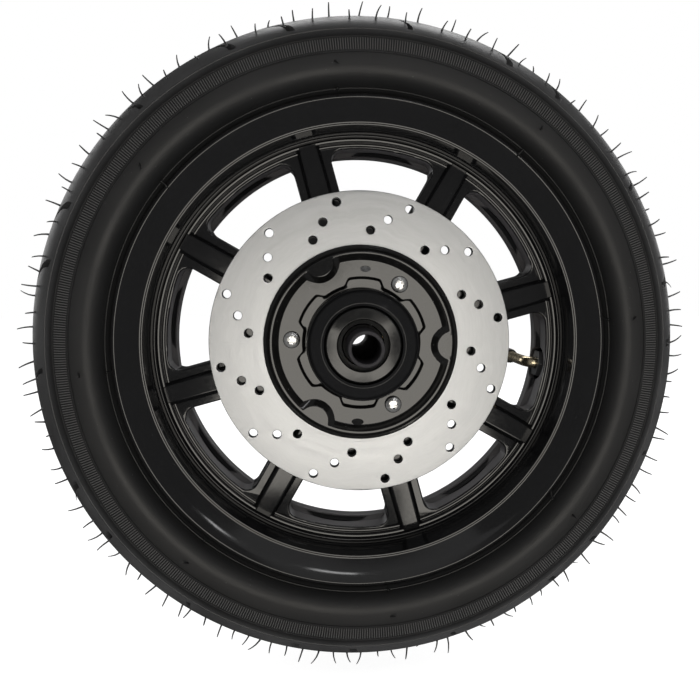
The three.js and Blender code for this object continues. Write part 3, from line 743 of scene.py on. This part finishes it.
# cast wheel
cast = {
    "spokes": 8, "firstSpoke": 15.2, "spokeWidth": 18.4, "face": -7, "back": 12, "windowOuter": 89.8,
    "windowInner": 55, "windowCorner": 5, "ribTop": 8.6, "ribBase": 13.4, "ribHeight": 2.3, "ribTaper": 0.8,
    "ribFrom": 24, "ribTo": 94.4, "ribEdge": 0.6, "edge": 0.7, "webOuter": 91.5, "webHole": 22,
    "valveAt": -7.8, "valveWells": ((8.3, 80, 99), (15.84, 80, 91)),
}
rimSection = rounded([
    (108.1, -32.0, 1.0), (109.7, -31.3, 0.6), (109.2, -29.4, 0.5), (104.5, -27.2, 0.8), (101.5, -26.2, 0.8),
    (101.0, -11.0, 1.0), (93.3, -4.0, 1.0), (93.3, 9.0, 1.0), (101.0, 16.0, 1.0), (101.5, 26.2, 0.8),
    (104.5, 27.2, 0.8), (109.2, 29.4, 0.5), (109.7, 31.3, 0.6), (108.3, 32.0, 0.7), (97.8, 26.7, 0.35),
    (97.2, 26.3, 0.2), (95.9, 14.2, 0.8), (87.6, 12.0, 0.7), (87.4, 5.0, 0.8), (90.6, 3.0, 0.8),
    (90.6, -5.6, 0.2), (90.9, -7.05, 0.2), (91.2, -7.30, 0.3), (91.8, -7.40, 0.3), (92.1, -7.0, 0.3),
    (92.7, -7.0, 0.2), (92.8, -8.8, 0.3), (93.2, -9.05, 0.5), (93.9, -9.17, 0.3), (94.6, -8.7, 0.4),
    (95.9, -8.5, 0.5), (96.9, -26.3, 0.15), (97.05, -26.5, 0.3), (97.5, -26.57, 0.08), (97.65, -26.4, 0.08),
    (97.85, -26.75, 0.2), (98.3, -26.83, 0.1), (104.2, -30.25, 30),
], 5)
rim = turnedRing("rim", rimSection, 320, 28)


def windowOutline(middle):
    radius, hub, corner = cast["windowOuter"], cast["windowInner"], cast["windowCorner"]
    side = cast["spokeWidth"] / 2 + corner
    near = math.sqrt((hub + corner) ** 2 - side ** 2)
    far = math.sqrt((radius - corner) ** 2 - side ** 2)
    flank = fillet(near, side, corner, math.pi + math.atan2(side, near), math.pi * 1.5)
    flank += fillet(far, side, corner, -math.pi / 2, math.atan2(side, far))
    half = math.radians(180 / cast["spokes"])
    flank = [spunPoint(p, -half) for p in flank]
    other = [(x, -y) for x, y in reversed(flank)]
    outline = flank + arcFrom(flank[-1], radius, 16) + other + arcFrom(other[-1], hub, 6)
    return [spunPoint(p, math.radians(middle)) for p in reversed(outline)]


def arcFrom(point, radius, count):  # from a point to its mirror image, without the two ends
    end = math.atan2(point[1], point[0])
    return [(radius * math.cos(a), radius * math.sin(a)) for a in steps(end, -end, count)[1:-1]]


def steps(first, last, count):
    return [first + (last - first) * i / count for i in range(count + 1)]


def fillet(x, y, radius, first, last):
    return [(x + radius * math.cos(a), y + radius * math.sin(a)) for a in steps(first, last, 8)]


def spunPoint(point, angle):
    c, s = math.cos(angle), math.sin(angle)
    return point[0] * c - point[1] * s, point[0] * s + point[1] * c


spokeAngles = [cast["firstSpoke"] + 45 * i for i in range(cast["spokes"])]
openings = [windowOutline(angle + 22.5) for angle in spokeAngles]
webOutlines = [circle(cast["webOuter"], 320), list(reversed(circle(cast["webHole"], 96)))] + openings
web = cutPlate("web", webOutlines, cast["face"], cast["back"], cast["edge"])


# The raised rib along a spoke, a block whose crest is narrower and whose edges are rounded.
def spokeRib(face, crest):
    rib = named(added(bpy.ops.mesh.primitive_cube_add, size=1), "rib")
    root = face + (face - crest) / 2
    for v in rib.data.vertices:
        far = v.co.x > 0
        taper = -cast["ribTaper"] / 2 if far else cast["ribTaper"] / 2
        wide = (cast["ribTop"] if v.co.y < 0 else cast["ribBase"]) / 2 + taper
        reach = cast["ribTo" if far else "ribFrom"]
        v.co = (reach * mm, (crest if v.co.y < 0 else root) * mm, math.copysign(wide, v.co.z) * mm)
    cleanUp(rib)
    return bevelled(rib, cast["ribEdge"], 4, 20)


frontRib = spokeRib(cast["face"], cast["face"] - cast["ribHeight"])
backRib = copyOf(frontRib)
middlePlane = Matrix.Translation((0, (cast["face"] + cast["back"]) * mm, 0))
backRib.data.transform(middlePlane @ Matrix.Rotation(math.pi, 4, "X"))
ribs = [
    ringOf(name, rib, cast["spokes"], cast["firstSpoke"])
    for name, rib in (("front_ribs", frontRib), ("back_ribs", backRib))]
noseCorner = 7.0
hubSection = rounded([
    (16.3, 22.0, 0), (16.3, 32.0, 0.2), (17.4, 32.0, 0.3), (17.4, 35.15, 0.2), (18.7, 35.45, 0.4),
    (25.2, 33.1, noseCorner), (25.2, 14.0, 3.5), (29.5, 12.0, 0.5), (54.0, 11.2, 1.5), (54.0, -6.2, 0.5),
    (50.0, -6.6, 0.2), (50.0, -9.7, 0.5), (35.7, -9.7, 0.3), (35.7, -13.5, 0.5), (25.2, -13.5, 0.3),
    (25.2, -33.1, noseCorner), (18.7, -35.45, 0.4), (17.4, -35.15, 0.2), (17.4, -32.0, 0.3),
    (16.3, -32.0, 0.2), (16.3, -20.7, 0.2), (13.8, -20.7, 0.2), (13.8, 20.7, 0.2), (16.3, 20.7, 0.2),
], 6)
hub = turnedRing("hub", hubSection, 160, 28)


def wellCutter(diameter, low, high):
    cutter = rod(diameter / 2, high - low, 48, "X", ((low + high) / 2, 2.5, 0))
    cutter.data.transform(spun(-cast["valveAt"]))
    return cutter


for shell in (rim, web):
    for well in cast["valveWells"]:
        cutWith(shell, wellCutter(*well))
casting = joined("cast_wheel", [rim, web, hub] + ribs)
castNodes = ["wheel_rim", "wheel_hub"] + [f"wheel_spoke_{i + 1}" for i in range(cast["spokes"])]
dress(casting, castBlack, "wheel", "black_gloss_casting", *castNodes)
print("casting finished")

# brake disc
disc = {
    "outer": 70, "bore": 36, "band": 46.6, "front": -14.2, "middle": -14, "back": -10, "edge": 0.3,
    "vent": 2, "groups": 12, "pitches": (65.5, 58.05, 52.05), "first": 9.9, "stagger": 7.6,
}


def ventHoles():
    holes = []
    for row, pitch in enumerate(disc["pitches"]):
        for i in range(disc["groups"]):
            x, z = polar(pitch, disc["first"] + row * disc["stagger"] + i * 360 / disc["groups"])
            holes.append(list(reversed(circle(disc["vent"], 24, x, z))))
    return holes


discOutlines = [circle(disc["outer"], 320), list(reversed(circle(disc["bore"], 160)))] + ventHoles()
rotor = cutPlate("disc_rotor", discOutlines, disc["front"], disc["back"], disc["edge"])
inside, front, middle = disc["bore"] - 1, disc["front"] - 1, disc["middle"]
stepSection = [(inside, front), (disc["band"], front), (disc["band"], middle), (inside, middle)]
cutWith(rotor, turnedRing("step", stepSection, 320))
smooth(rotor, 30)
dress(rotor, discSteel, "wheel", "disc_steel", "brake_disc")
print("disc finished")

# cover plate
plate = {
    "recess": 40.9, "recessFloor": 37.9, "blend": 2.2, "bore": 25.7, "land": -20.2, "floor": -18.4,
    "pocket": -16.6, "landMiddle": 41.6,
    "bossAt": (-2, 118, 238), "bossPitch": 41.5, "boss": 6.5, "bossFloor": 9.4, "lift": 0.8,
    "lobeFirst": 27.3, "lobeOut": 29.9, "lobeIn": 26.6, "lobeFlat": 12.8, "lobeEnd": 20.6,
    "dimples": ((87, 34.3, 2.4, 1.4, 12), (267, 36.3, 2.8, 1.5, -12)),
}


def softMin(a, b, reach):
    h = max(reach - abs(a - b), 0) / reach
    return min(a, b) - h * h * reach / 4


def recessWall(wall, boss):
    def radius(angle):
        r = wall
        for at in plate["bossAt"]:
            off = away(angle, at)
            if abs(off) > 0.6:
                continue
            across = plate["bossPitch"] * math.sin(off)
            depth = boss ** 2 - across ** 2
            near = plate["bossPitch"] * math.cos(off) - math.copysign(math.sqrt(abs(depth)), depth)
            r = softMin(r, near, plate["blend"])
        return r
    return radius


def lobeWall(shift):
    def radius(angle):
        off = min(abs(away(angle, plate["lobeFirst"] + 60 * i)) for i in range(6))
        t = (math.degrees(off) - plate["lobeFlat"]) / (plate["lobeEnd"] - plate["lobeFlat"])
        t = min(max(t, 0), 1)
        t = t * t * (3 - 2 * t)
        return plate["lobeOut"] + (plate["lobeIn"] - plate["lobeOut"]) * t + shift
    return radius


def between(a, b, share):
    return lambda angle: a(angle) + (b(angle) - a(angle)) * share


def bossLift(angle):  # the tip of the first boss stands a little proud
    if abs(away(angle, plate["bossAt"][1])) > 0.5:
        return 0
    return plate["lift"] * min(max((plate["recess"] - top(angle)) / 6, 0), 1)


top = recessWall(plate["recess"], plate["boss"])
bottom = recessWall(plate["recessFloor"], plate["bossFloor"])
edgeOfPlate = rounded([
    (plate["bore"], -14.3, 0), (45.05, -14.3, 0.3), (45.05, -16.9, 0.7), (43.5, -16.9, 0.15),
    (43.25, -19.0, 0.25), (41.9, plate["land"], 0.5), (30, plate["land"], 0),
], 4)[:-1]


def lifted(along, share=1.0):
    return lambda angle: along - bossLift(angle) * share


land = [
    (between(lambda angle: plate["landMiddle"], top, share), lifted(plate["land"], share))
    for share in (0.25, 0.6, 0.93)]
wall = [
    (top, lifted(-20.13)), (between(top, bottom, 0.12), lifted(-19.98)), (between(top, bottom, 0.9), -18.53),
    (bottom, plate["floor"]), (lambda angle: bottom(angle) - 0.35, plate["floor"]),
]
floorAndLobes = [
    (lambda angle: (bottom(angle) + lobeWall(0.9)(angle)) / 2, plate["floor"]),
    (lobeWall(0.85), plate["floor"]), (lobeWall(0.55), -18.32), (lobeWall(0.3), -18.05),
    (lobeWall(-0.3), -16.95), (lobeWall(-0.55), -16.68), (lobeWall(-0.9), plate["pocket"]),
    (plate["bore"], plate["pocket"]),
]
cover = turnedRing("cover_plate", edgeOfPlate + land + wall + floorAndLobes, 720, 26)


# Two shallow oval marks that the tool left in the recess, each with a slightly tilted floor.
for at, pitch, width, length, tilt in plate["dimples"]:
    dimple = rod(1, 4, 40, "Y")
    place = Matrix.Translation((pitch * mm, -19.98 * mm, 0))
    for step in (Matrix.Diagonal((length, 1, width, 1)), spun(tilt, "Z"), place, spun(-at)):
        dimple.data.transform(step)
    cutWith(cover, dimple)
dress(cover, plateBlack, "wheel", "black_gloss_plate", "disc_cover_plate")
print("cover plate finished")

# screws
screw = {
    "at": (57, 177, 297), "pitch": 32, "seat": -18.7, "head": 8.0, "height": 2.0, "shank": 5.0,
    "thread": 13.8, "chamfer": 0.9, "axis": 0.3, "turnedFirst": 20, "turnedNext": 31,
    "slotDeep": (3.2, 0.8, 1.1), "slotOuter": (4.9, 1.15, -0.8),
}


def coverScrew():
    seat, radius, axis = screw["seat"], screw["head"] / 2, screw["axis"]
    profile = rounded([
        (screw["head"] * 0.36, seat, 0.1), (radius, seat - 0.5, 0.35), (radius - 0.45, seat - 1.35, 0.6),
        (screw["head"] * 0.26, seat - 1.86, 2.5), (axis, seat - screw["height"], 0),
    ], 5)
    tip, thick = seat + screw["thread"], screw["shank"] / 2
    shank = [(axis, tip), (thick - 0.8, tip), (thick, tip - screw["chamfer"]), (thick, seat)]
    head = turnedRing("screw", shank + profile, 64, 40)
    edited(head, "DESELECT")
    setMode("OBJECT")
    thin = {v.index for v in head.data.vertices if math.hypot(v.co.x, v.co.z) < (axis + 0.01) * mm}
    for face in head.data.polygons:  # the thin tube left on the axis is closed to a solid head
        face.select = all(i in thin for i in face.vertices)
    setMode("EDIT")
    bpy.ops.mesh.delete(type="FACE")
    bpy.ops.mesh.select_mode(type="EDGE")
    bpy.ops.mesh.select_non_manifold()
    bpy.ops.mesh.edge_face_add()
    bpy.ops.mesh.select_all(action="SELECT")
    bpy.ops.mesh.normals_make_consistent(inside=False)
    setMode("OBJECT")
    crown = seat - screw["height"]
    for turnBy in (0, 90):
        slot = added(bpy.ops.mesh.primitive_cube_add, size=mm, location=(0, crown * mm, 0))
        applyPlace(slot)
        for v in slot.data.vertices:
            long, wide, along = screw["slotDeep" if v.co.y > crown * mm else "slotOuter"]
            v.co = (v.co.x * long, (crown + along) * mm, v.co.z * wide)
        slot.data.transform(spun(turnBy))
        cutWith(head, slot)
    smooth(head, 30)
    return head


patternScrew = coverScrew()
for i, angle in enumerate(screw["at"]):
    copy = copyOf(patternScrew)
    copy.data.transform(spun(screw["turnedFirst"] + screw["turnedNext"] * i))
    x, z = polar(screw["pitch"], angle)
    copy.data.transform(Matrix.Translation((x * mm, 0, z * mm)))
    named(copy, f"cover_screw_{i + 1}")
    dress(copy, zinc, "wheel", "zinc_steel", f"disc_screw_{i + 1}")
bpy.data.objects.remove(patternScrew)
print("screws finished")

# dust covers, spacers and bearings
sides = (("disc_side", -1), ("far_side", 1))
turnedParts = {
    "dust_cover": (coverGloss, "black_plastic", "wheel", 128, (
        (11.4, 32.3, 0.2), (17.1, 32.3, 0.3), (17.1, 33.4, 0.4), (16.4, 34.68, 0.5), (11.8, 35.1, 0.35),
        (11.4, 34.6, 0.2))),
    "spacer": (spacerSteel, "dark_steel", "axle_set", 96, (
        (6.1, 31.3, 0.2), (7.7, 31.3, 0.3), (7.7, 55.0, 0.5), (6.1, 55.0, 0.5))),
}
for name, (finish, slotName, body, count, corners) in turnedParts.items():
    for side, facing in sides:
        outline = [(r, y * facing) for r, y in rounded(corners, 4)]
        part = turnedRing(f"{side}_{name}_look", outline, count, 30)
        dress(part, finish, body, slotName, f"{side}_{name}")

bearingMiddle = 26
nearSeal = ((9.5, 4.1, 0.1), (12.5, 4.1, 0.1), (12.5, 4.7, 0.15), (11.0, 4.55, 0.5), (9.5, 4.7, 0.15))
bearingParts = {
    "inner_race": (raceSteel, "bearing_steel", "axle_set", (
        (6.0, -5, 0.4), (9.2, -5, 0.3), (9.2, -2.5, 0.2), (8.3, 0, 1.5), (9.2, 2.5, 0.2), (9.2, 5, 0.3),
        (6.0, 5, 0.4))),
    "outer_race": (bearingSteel, "bearing_steel", "wheel", (
        (16.0, 5, 0.4), (12.8, 5, 0.3), (12.8, 2.5, 0.2), (13.7, 0, 1.5), (12.8, -2.5, 0.2), (12.8, -5, 0.3),
        (16.0, -5, 0.4))),
    "near_seal": (sealRubber, "seal_rubber", "wheel", nearSeal),
    "far_seal": (sealRubber, "seal_rubber", "wheel", [(r, -y, soft) for r, y, soft in nearSeal]),
}
for side, facing in sides:
    for name, (finish, slotName, body, corners) in bearingParts.items():
        outline = [(r, bearingMiddle * facing + y) for r, y in rounded(corners, 3)]
        part = turnedRing(f"{side}_{name}_look", outline, 96, 30)
        dress(part, finish, body, slotName, f"{side}_bearing_{name}")
print("turned parts finished")

# valve
valve = {
    "middle": 2.5, "stem": 5.2, "line": 83.6, "bend": 4.2, "tip": 40, "tipTaper": 0.86,
    "core": 9.6, "bore": 1.5, "boreFrom": 9.3, "boreLength": 11, "foot": 12.6, "footAt": 93.9,
    "footThick": 1.8, "nut": 12, "nutTop": 90.7, "nutHeight": 2.6, "nutBore": 2.9, "cap": 7.6,
    "capLength": 9, "capGrip": 7, "capBore": 2.9, "knurls": 24,
}


def onValveSide(obj):
    obj.data.transform(spun(-cast["valveAt"]))
    return obj


def valveStem():
    curve = added(bpy.ops.curve.primitive_bezier_curve_add)
    curve.data.splines.clear()
    spline = curve.data.splines.new("POLY")
    line, middle, bend = valve["line"], valve["middle"], valve["bend"]
    route = [(valve["footAt"] + 1, middle), (line + bend, middle)]
    for i in range(1, 9):
        a = math.pi / 2 * i / 9
        route.append((line + bend - bend * math.sin(a), middle + bend - bend * math.cos(a)))
    tip = valve["tip"]
    route += [(line, middle + bend), (line, tip - valve["core"]), (line, tip - 0.4), (line, tip)]
    spline.points.add(len(route) - 1)
    for point, (x, y) in zip(spline.points, route):
        point.co = (x * mm, y * mm, 0, 1)
    spline.points[-1].radius = valve["tipTaper"]
    curve.data.dimensions = "3D"
    curve.data.bevel_depth = valve["stem"] / 2 * mm
    curve.data.bevel_resolution = 10
    curve.data.use_fill_caps = True
    bpy.ops.object.convert(target="MESH")
    stem = bpy.context.object
    applyPlace(stem)
    cleanUp(stem, 1e-6)
    boreMiddle = tip - valve["boreFrom"] + valve["boreLength"] / 2
    cutWith(stem, rod(valve["bore"], valve["boreLength"], 24, "Y", (line, boreMiddle, 0)))
    footMiddle = valve["footAt"] + valve["footThick"] / 2
    foot = bevelled(rod(valve["foot"] / 2, valve["footThick"], 48, "X", (footMiddle, middle, 0)), 0.4, 3)
    stem = joined("valve_stem_look", [stem, foot])
    smooth(stem, 35)
    return onValveSide(stem)


def valveNut():
    corner = valve["nut"] / 2 / math.cos(math.pi / 6)
    place = (valve["nutTop"] - valve["nutHeight"] / 2, valve["middle"], 0)
    nut = bevelled(rod(corner, valve["nutHeight"], 6, "X", place), 0.35, 3)
    cutWith(nut, rod(valve["nutBore"], 6, 40, "X", place))
    smooth(nut, 30)
    return onValveSide(named(nut, "valve_nut_look"))


def knurled(base, depth):
    return lambda angle: base - depth * (0.5 + 0.5 * math.cos(valve["knurls"] * angle))


def valveCap():
    start, radius, inner = valve["tip"] - valve["capGrip"], valve["cap"] / 2, valve["capBore"]
    end, ceiling = start + valve["capLength"], valve["tip"] + 0.3
    outline = [
        (inner, start), (radius - 0.4, start), (knurled(radius, 0.3), start + 0.4),
        (knurled(radius, 0.3), end - 2.2), (knurled(radius - 0.3, 0.15), end - 1.4),
        (radius - 0.8, end - 0.6), (radius - 1.5, end - 0.15), (radius - 2.3, end), (0.4, end),
        (0.4, ceiling), (inner, ceiling),
    ]
    cap = turnedRing("valve_cap_look", outline, 96, 40)
    cap.data.transform(Matrix.Translation((valve["line"] * mm, 0, 0)))
    return onValveSide(cap)


dress(valveStem(), valveBrass, "wheel", "valve_brass", "valve_stem")
dress(valveNut(), coverPlastic, "wheel", "black_plastic", "valve_nut")
dress(valveCap(), coverPlastic, "valve_cap", "black_plastic", "valve_cap")
print("valve finished")

# studio
warm, white = (1.0, 0.955, 0.87), (1.0, 1.0, 1.0)
# Each light: its place, what it faces, size, power, colour, and whether gloss mirrors it.
studio = {
    "floor": -0.1585, "shade": 0.35, "glow": 1.40, "soft": 0.45, "wall": 0.03, "front": 0.17,
    "lights": {
        "boxBehindCamera": ((0.045, -1.1, -0.1575), "front", (0.49, 0.405), 2.42, warm, True),
        "boxTopCorner": ((0.151, -1.1, 0.0725), "front", (0.278, 0.055), 0.19, warm, True),
        "boxLowCorner": ((0.215, -1.1, -0.40), "front", (0.15, 0.08), 0.15, warm, True),
        "broadBand": ((0.08, -0.95, 0.48), (0, 0, 0), (0.8, 0.3), 0.22, white, True),
        "lampRight": ((0.46, -0.95, 0.40), (0, 0, 0), (0.08, 0.05), 0.10, white, True),
        "lampMiddle": ((0.14, -0.95, 0.52), (0, 0, 0), (0.12, 0.06), 0.16, white, True),
        "softboxAbove": ((0.12, -0.95, 0.92), (0, 0, 0), (1.1, 0.42), 3.6, white, False),
        "fillLeft": ((-1.0, -0.75, 0.1), (0, 0, 0), (0.5, 0.9), 1.6, white, False),
        "fillBelow": ((0.45, -0.4, -0.85), (0, 0, -0.08), (0.9, 0.6), 7.0, white, False),
        "rearAbove": ((0.15, 0.75, 0.95), (0, 0, 0), (0.9, 0.35), 5.0, white, True),
        "rearLeft": ((-0.75, 0.85, 0.25), (0, 0, 0), (0.6, 0.6), 2.2, white, True),
        "rearRight": ((0.75, 0.85, 0.25), (0, 0, 0), (0.6, 0.6), 2.2, white, True),
    },
}


def seenAndMirrored(n):
    ray = n.add("ShaderNodeLightPath").outputs
    return n.math("MAXIMUM", ray["Is Camera Ray"], ray["Is Transmission Ray"]), ray["Is Glossy Ray"]


# To the camera the floor is white with the shadow in it. Reflections and light pass through it.
grid = bpy.ops.mesh.primitive_grid_add
floor = added(grid, x_subdivisions=2, y_subdivisions=2, size=8, location=(0, 0, studio["floor"]))
named(floor, "studio_floor")
applyPlace(floor)
floor.visible_glossy = False
floor.visible_shadow = False
floorMaterial, n, shader = startMaterial("floorWhite", roughness=0.9, base_color=grey(0.9))
seen, mirrored = seenAndMirrored(n)
glow = n.add("ShaderNodeEmission", {"Color": grey(1), "Strength": studio["glow"]})
share = n.times(seen, 1 - studio["shade"])
mixed = n.add("ShaderNodeMixShader", {0: share, 1: shader.outputs[0], 2: glow.outputs[0]})
n.link(mixed.outputs[0], floorMaterial.node_tree.nodes["Material Output"].inputs["Surface"])
floor.data.materials.append(floorMaterial)

# Reflections see a dim room, a little lighter behind the camera; the camera itself sees white.
world = bpy.data.worlds.new("studio")
bpy.context.scene.world = world
world.use_nodes = True
n = Nodes(world.node_tree)
n.tree.nodes.clear()
seen, mirrored = seenAndMirrored(n)
along = n.add("ShaderNodeSeparateXYZ", {0: n.add("ShaderNodeTexCoord").outputs["Generated"]}).outputs[1]
room = n.mapped(along, -0.5, -0.05, studio["front"], studio["wall"], interpolation_type="SMOOTHSTEP")
others = n.math("SUBTRACT", 1.0, n.math("ADD", seen, mirrored), clamp=True)
soft = n.times(others, studio["soft"])
strength = n.math("ADD", n.math("ADD", seen, n.times(mirrored, room)), soft)
sky = n.add("ShaderNodeBackground", {"Color": grey(1), "Strength": strength})
n.link(sky.outputs[0], n.add("ShaderNodeOutputWorld").inputs["Surface"])


def softLight(name, place, target, size, power, colour, mirrored):
    light = added(bpy.ops.object.light_add, type="AREA", location=place)
    light.name = light.data.name = name
    light.data.shape = "RECTANGLE"
    light.data.size, light.data.size_y = size
    light.data.energy = power
    light.data.color = colour
    facing = Vector((0, 1, 0)) if target == "front" else Vector(target) - Vector(place)
    light.rotation_euler = facing.to_track_quat("-Z", "Y").to_euler()
    light.visible_camera = False
    light.visible_glossy = mirrored


for name, values in studio["lights"].items():
    softLight(name, *values)

# camera: the fit to the photograph's disc holes and round edges
view = {
    "place": (-0.0200, -0.3720, 0.0266), "along": (0.0784, 0.9947, -0.0672), "lens": 39.73, "sensor": 36,
    "shift": (-0.041, -0.0087), "nearest": 0.01,
}
camera = added(bpy.ops.object.camera_add, location=view["place"])
camera.rotation_euler = Vector(view["along"]).to_track_quat("-Z", "Y").to_euler()
camera.data.sensor_width = view["sensor"]
camera.data.sensor_fit = "HORIZONTAL"
camera.data.lens = view["lens"]
camera.data.shift_x, camera.data.shift_y = view["shift"]
camera.data.clip_start = view["nearest"]
bpy.context.scene.camera = camera
bpy.context.scene.view_settings.view_transform = "Standard"
print("studio and camera ready")

deselect()
